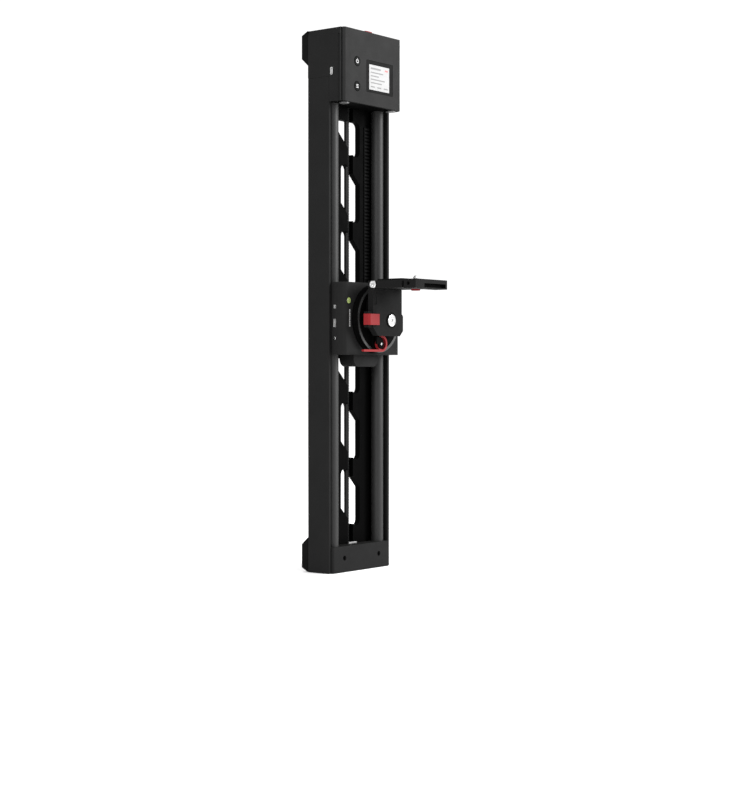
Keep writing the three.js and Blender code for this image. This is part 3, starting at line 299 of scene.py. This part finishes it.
def paint_shade_in_box(name, low, high):
    """Gives a CAD node's faces inside a box, in millimetres, the black material as painted shade."""
    mesh = frame["nodes"][name].data
    mesh.materials.append(MATERIALS["black_metal"])
    for polygon in mesh.polygons:
        corners = [mesh.vertices[k].co / MM for k in polygon.vertices]
        if all(low[i] < corner[i] < high[i] for corner in corners for i in range(3)):
            polygon.material_index = 1


# ---------- mesh code, in millimetres ----------
# An outline is a function of angle and height that gives a share of the radius.
def plain(_angle, _height):
    return 1.0


def hexagon(angle, _height):
    return 1 / math.cos((angle + math.pi / 6) % (math.pi / 3) - math.pi / 6)


def knurl(count, depth):
    return lambda angle, _height: 1 - depth * (0.5 - 0.5 * math.cos(count * angle))


def thread(pitch, depth):
    def radius_share(angle, height):
        turn = (height / pitch - angle / math.tau) % 1.0
        return 1 - depth * abs(2 * turn - 1)
    return radius_share


def lathe(bm, rows, place, axis, segments=64, slots=None, bored=False):
    """Turned body. Each row is (radius, height) or (radius, height, outline); a bored one is a ring."""
    turn = Vector(axis).to_track_quat("Z", "Y").to_matrix()
    rings = []
    for radius, height, *rest in rows:
        bend = rest[0] if rest else plain
        ring = []
        for k in range(segments):
            angle = math.tau * k / segments
            reach = radius * bend(angle, height)
            corner = Vector((reach * math.cos(angle), reach * math.sin(angle), height))
            ring.append(bm.verts.new(Vector(place) + turn @ corner))
        rings.append(ring)
    bands = list(zip(rings, rings[1:]))
    if bored:
        bands.append((rings[-1], rings[0]))
    for band, (low, high) in enumerate(bands):
        for k in range(segments):
            after = (k + 1) % segments
            face = bm.faces.new((low[k], low[after], high[after], high[k]))
            face.material_index = slots[band] if slots else 0
    if not bored:
        bm.faces.new(rings[0][::-1]).material_index = slots[0] if slots else 0
        bm.faces.new(rings[-1]).material_index = slots[-1] if slots else 0


def slab(bm, points, place, across, up, depth, slot=0):
    """Outline drawn in (across, up) at a place, given a thickness along across x up."""
    u, v = Vector(across), Vector(up)
    out = u.cross(v) * depth
    near = [bm.verts.new(Vector(place) + u * a + v * b) for a, b in points]
    far = [bm.verts.new(vertex.co + out) for vertex in near]
    count = len(points)
    faces = [bm.faces.new(near[::-1]), bm.faces.new(far)]
    for k in range(count):
        after = (k + 1) % count
        faces.append(bm.faces.new((near[k], near[after], far[after], far[k])))
    for face in faces:
        face.material_index = slot


def front_slab(bm, points, place, depth, slot=0):
    """Outline drawn in (X, Z), given a thickness towards the front."""
    slab(bm, points, place, X_AXIS, Z_AXIS, depth, slot)


def rectangle(width, height, left=0.0, low=0.0):
    return [(left, low), (left + width, low), (left + width, low + height), (left, low + height)]


def arc_band(radius, width, start, end, steps=24):
    """Outline of a ring's stretch between two angles in degrees."""
    angles = [math.radians(start + (end - start) * k / steps) for k in range(steps + 1)]
    outer = [(radius * math.cos(a), radius * math.sin(a)) for a in angles]
    inner = [((radius - width) * math.cos(a), (radius - width) * math.sin(a)) for a in angles]
    return outer + inner[::-1]


def mm_box(node):
    """Lowest corner, highest corner and centre of a CAD node."""
    low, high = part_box(node)
    low, high = Vector(low) / MM, Vector(high) / MM
    return low, high, (low + high) / 2


def rides_with(node, name, bm, materials, width=0.0, stands_in=True):
    """Turns mesh code into a piece on the node's body, in place of the node if it stands in for it."""
    bmesh.ops.recalc_face_normals(bm, faces=bm.faces)
    bmesh.ops.scale(bm, vec=(MM, MM, MM), verts=bm.verts)
    for face in bm.faces:
        face.smooth = True
    for edge in bm.edges:
        edge.smooth = len(edge.link_faces) == 2 and edge.calc_face_angle() < SMOOTH_ANGLE
    mesh = bpy.data.meshes.new(name)
    bm.to_mesh(mesh)
    bm.free()
    made = bpy.data.objects.new(name, mesh)
    bpy.context.collection.objects.link(made)
    for key in materials:
        mesh.materials.append(MATERIALS[key])
    if width:
        round_edges(made, width)
    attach(made, BODY_OF[node])
    if stands_in:
        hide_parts(node)


# ---------- detailed pieces, in millimetres ----------
def guide_rods():
    chamfer = 0.6
    for side in ("left", "right"):
        low, high, centre = mm_box(f"guide_rod_{side}")
        radius = (high.x - low.x) / 2
        length = high.z - low.z
        rows = [(radius - chamfer, 0), (radius, chamfer)]
        rows += [(radius, length - chamfer), (radius - chamfer, length)]
        bm = bmesh.new()
        lathe(bm, rows, (centre.x, centre.y, low.z), Z_AXIS, 96)
        rides_with(f"guide_rod_{side}", f"rod_{side}", bm, ["rod"])


def toothed_belt():
    low, high, _centre = mm_box("drive_belt")
    pitch, tooth = 2.0, 0.7
    foot, tip = 0.5, 0.3            # half widths of a tooth
    points = [(high.y, low.z), (high.y, high.z)]
    z = high.z - pitch / 2
    while z > low.z + pitch / 2:
        points += [(low.y + tooth, z + foot), (low.y, z + tip)]
        points += [(low.y, z - tip), (low.y + tooth, z - foot)]
        z -= pitch
    bm = bmesh.new()
    slab(bm, points, (low.x, 0, 0), Y_AXIS, Z_AXIS, high.x - low.x)
    rides_with("drive_belt", "toothed_belt", bm, ["roller"])


def ribbed_strip():
    low, high, _centre = mm_box("ribbed_cable")
    pitch, inset = 4.45, 0.3
    width, length, depth = high.x - low.x, high.z - low.z, high.y - low.y
    backing = depth * 0.4
    bm = bmesh.new()
    front_slab(bm, rectangle(width, length), (low.x, high.y, low.z), backing)
    for k in range(int(length / pitch)):
        rib = rectangle(width - 2 * inset, pitch * 0.5, inset, length - (k + 0.8) * pitch)
        front_slab(bm, rib, (low.x, high.y - backing, low.z), depth - backing, 1)
    rides_with("ribbed_cable", "ribbed_strip", bm, ["black_metal", "rubber"], width=0.2)


def turntable():
    low, high, centre = mm_box("pan_turntable")
    radius = (high.x - low.x) / 2
    thick, corner, bevel = 8.9, 0.5, 0.6
    neck, neck_short = 12, 0.4              # the shaft behind the disc, and what it stops short
    rim_low, rim_high = 4.8, 6.2            # groove round the rim
    ring, ring_width = 4, 1.4               # groove in the face, in from the edge
    slope = 0.4                             # of both grooves' sides
    # the flat ring just inside the edge bevel takes the rim finish: a painted highlight along the disc's
    # edge
    painted_highlight_band = 9
    rows = [(neck, high.y - low.y - neck_short), (neck, thick)]
    rows += [(radius - corner, thick), (radius, thick - corner), (radius, rim_high)]
    rows += [(radius - corner, rim_high - slope), (radius - corner, rim_low + slope)]
    rows += [(radius, rim_low), (radius, bevel), (radius - bevel, 0), (radius - ring, 0)]
    rows += [(radius - ring - slope, slope), (radius - ring - ring_width + slope, slope)]
    rows += [(radius - ring - ring_width, 0)]
    slots = [0] * (len(rows) - 1)
    slots[painted_highlight_band] = 1
    bm = bmesh.new()
    lathe(bm, rows, (centre.x, low.y, centre.z), Y_AXIS, 128, slots)
    rides_with("pan_turntable", "turntable_disc", bm, ["black_metal", "rim"])


def knob():
    low, high, centre = mm_box("bracket_knob")
    radius = (high.x - low.x) / 2
    edge = knurl(48, 0.02)
    socket, dish, thick, shaft = 2.1, 0.45, 3.0, 3
    rows = [(socket, 1.5, hexagon), (socket, dish, hexagon), (3.4, dish), (3.6, 0.2)]
    rows += [(radius - 1.2, 0.0), (radius - 0.5, 0.3), (radius, 0.7, edge), (radius, 2.6, edge)]
    rows += [(radius - 0.4, thick), (shaft, thick), (shaft, high.y - low.y)]
    bm = bmesh.new()
    lathe(bm, rows, (centre.x, low.y, centre.z), Y_AXIS, 192)
    rides_with("bracket_knob", "knob_turned", bm, ["polished_steel"])


def arm_screw():
    low, high, centre = mm_box("platform_arm_screw")
    radius = (high.z - low.z) / 2
    socket, thick, shank, corner = 2.0, 2.6, 2, 0.6
    rows = [(socket, 1.8, hexagon), (socket, 0.1, hexagon), (2.3, 0.0), (radius - corner, 0.0)]
    rows += [(radius, corner), (radius, thick), (shank, thick), (shank, high.x - low.x)]
    bm = bmesh.new()
    lathe(bm, rows, (low.x, centre.y, centre.z), X_AXIS, 96)
    rides_with("platform_arm_screw", "arm_cap_screw", bm, ["polished_steel"])


def camera_screw():
    low, high, centre = mm_box("camera_screw")
    radius = (high.x - low.x) / 2
    place = (centre.x, centre.y, low.z)
    length = high.z - low.z
    edge = knurl(40, 0.04)
    rows = [(radius - 0.5, 0), (radius, 0.5, edge), (radius, 3.4, edge), (radius - 0.4, 3.9)]
    bm = bmesh.new()
    lathe(bm, rows, place, Z_AXIS, 160)
    rides_with("camera_screw", "camera_screw_knob", bm, ["red"])
    shank, foot, taper, step = 3.17, 4.0, 2.2, 0.16
    grooves = thread(1.27, 0.16)
    steps = int((length - foot - 0.2 - taper) / step)
    rows = [(shank, foot + k * step, grooves) for k in range(steps)]
    rows += [(2.6, length - taper + 0.4), (1.3, length - 0.3), (0.9, length)]
    bm = bmesh.new()
    lathe(bm, rows, place, Z_AXIS, 48)
    rides_with("camera_screw", "camera_screw_thread", bm, ["polished_steel"],
               stands_in=False)


def lever_hub():
    """Round hub with one square shoulder, and the end of the pin that goes through it."""
    low, high, _centre = mm_box("clamp_lever_pin")
    radius, tip, thick, shank = 5.4, 0.6, 2.4, 2
    pivot = Vector((high.x - radius, low.y, low.z + radius))
    reach, rise = pivot.x - low.x, high.z - pivot.z
    angles = [math.radians(180 + 270 * k / 48) for k in range(49)]
    points = [(radius * math.cos(a), radius * math.sin(a)) for a in angles]
    points += [(0, rise), (-reach, rise), (-reach, 0)]
    bm = bmesh.new()
    front_slab(bm, points, pivot + Vector((0, tip + thick, 0)), thick)
    rides_with("clamp_lever_pin", "lever_hub", bm, ["black_metal"], width=0.3)
    bm = bmesh.new()
    lathe(bm, [(1.1, 0.3), (1.3, 0.0), (1.6, 0.2), (1.6, tip)], pivot, Y_AXIS, 48)
    lathe(bm, [(shank, tip + thick), (shank, high.y - low.y)], pivot, Y_AXIS, 48)
    rides_with("clamp_lever_pin", "lever_pin", bm, ["polished_steel"], stands_in=False)


def bubble_level():
    low, _high, centre = mm_box("bubble_level")
    place = (centre.x, low.y, centre.z)
    bm = bmesh.new()
    lathe(bm, [(3.6, 0.35), (3.8, 0.0), (4.5, 0.15), (4.5, 1.6)], place, Y_AXIS)
    rides_with("bubble_level", "level_bezel", bm, ["button"])
    bm = bmesh.new()
    lathe(bm, [(0.8, 0.12), (1.9, 0.15), (3.0, 0.22), (3.7, 0.36)], place, Y_AXIS)
    rides_with("bubble_level", "level_lens", bm, ["vial"], stands_in=False)
    bm = bmesh.new()
    front_slab(bm, arc_band(1.7, 0.22, 0, 359), (centre.x, low.y + 0.15, centre.z), 0.1)
    rides_with("bubble_level", "level_ring", bm, ["button"], stands_in=False)


POWER_SIGN = [arc_band(2.5, 0.8, 125, 415), rectangle(0.8, 2.6, -0.4, 0.6)]
MENU_SIGN = [rectangle(4.2, 0.8, -2.1, level) for level in (-2.1, -0.4, 1.3)]


def button(node, marks):
    """Dished round cap, and the sign that stands in its dish."""
    low, high, centre = mm_box(node)
    radius = (high.x - low.x) / 2
    sign_back, sign_thick = 0.3, 0.14
    rows = [(radius - 1.6, 0.22), (radius - 1.0, 0.05), (radius - 0.6, 0.0), (radius, 0.35)]
    rows += [(radius, high.y - low.y)]
    bm = bmesh.new()
    lathe(bm, rows, (centre.x, low.y, centre.z), Y_AXIS, 96)
    rides_with(node, f"{node}_cap", bm, ["button"])
    bm = bmesh.new()
    for points in marks:
        front_slab(bm, points, (centre.x, low.y + sign_back, centre.z), sign_thick)
    rides_with(node, f"{node}_sign", bm, ["pale_print_and_painted_highlight"], stands_in=False)


def screen_panel():
    """Lit panel with plain bars for its lines of text."""
    low, high, _centre = mm_box("screen_glass")
    wide, tall = high.x - low.x, high.z - low.z
    sunk, bar_back, bar_thick = 0.1, 0.11, 0.05
    margin, dim, red = 3, 1, 2
    top, right = tall - 5.5, wide - 9
    bars = [(margin, top, wide * 0.5, 2.2, dim), (right, top, 6, 2.2, red)]
    bars += [(left, margin, 8, 1.6, dim) for left in (margin, wide / 2 - 4, wide - 11)]
    for k, share in enumerate((0.55, 0.7, 0.4, 0.62)):
        bars.append((margin, 8.0 + 4.2 * k, wide * share, 1.5, dim))
    bm = bmesh.new()
    front_slab(bm, rectangle(wide, tall), (low.x, high.y, low.z), high.y - low.y - sunk)
    for left, up, width, height, slot in bars:
        bar = rectangle(width, height, left, up)
        front_slab(bm, bar, (low.x, low.y + bar_back, low.z), bar_thick, slot)
    rides_with("screen_glass", "screen_panel", bm, ["screen", "dim_mark", "red_mark"])


def scale_bars():
    """Row of small printed bars beside the level."""
    low, _high, _centre = mm_box("carriage_cover")
    count, pitch, left, start = 9, 2.4, 7.6, 34
    wide, tall, back, thick = 2.0, 1.4, 0.03, 0.05
    bm = bmesh.new()
    for k in range(count):
        bar = rectangle(wide, tall, low.x + left, low.z + start + pitch * k)
        front_slab(bm, bar, (0, low.y + back, 0), thick)
    rides_with("carriage_cover", "scale_bars", bm, ["pale_print_and_painted_highlight"], stands_in=False)


def paint_jaw_recess_shade():
    """Blackens the long recess in the camera jaw's front: painted shade in the recess."""
    low, high, _centre = mm_box("camera_jaw")
    left, right, depth = low.x + 17.5, high.x - 3.1, 5.3
    paint_shade_in_box("camera_jaw", (left, low.y - 0.1, low.z + 1.3), (right, low.y + depth, low.z + 6.3))


def trigger_jack():
    low, _high, centre = mm_box("trigger_jack")
    bore, radius, length = 0.9, 1.8, 4.5
    rows = [(bore, 0.0), (radius - 0.1, 0.0), (radius, 0.15), (radius, length), (bore, length)]
    bm = bmesh.new()
    lathe(bm, rows, (low.x, centre.y, centre.z), X_AXIS, 48, bored=True)
    rides_with("trigger_jack", "jack_barrel", bm, ["polished_steel"])


# the tongue's pale colour, like the charging socket's, is a painted highlight
def charging_tongue():
    low, _high, centre = mm_box("charging_socket")
    thick, tall, deep, sunk = 0.9, 5.6, 3.5, 1.0
    outline = rectangle(thick, tall, -thick / 2, -tall / 2)
    bm = bmesh.new()
    slab(bm, outline, (low.x + sunk, centre.y, centre.z), Y_AXIS, Z_AXIS, deep)
    rides_with("charging_socket", "charging_tongue", bm, ["pale_print_and_painted_highlight"], stands_in=False)


make_camera()
make_light()
make_floor()
dress_nodes()
guide_rods()
toothed_belt()
ribbed_strip()
turntable()
knob()
arm_screw()
camera_screw()
lever_hub()
bubble_level()
button("power_button", POWER_SIGN)
button("menu_button", MENU_SIGN)
screen_panel()
scale_bars()
paint_jaw_recess_shade()
trigger_jack()
charging_tongue()
bpy.context.scene.view_settings.view_transform = "Standard"
bpy.context.view_layer.update()
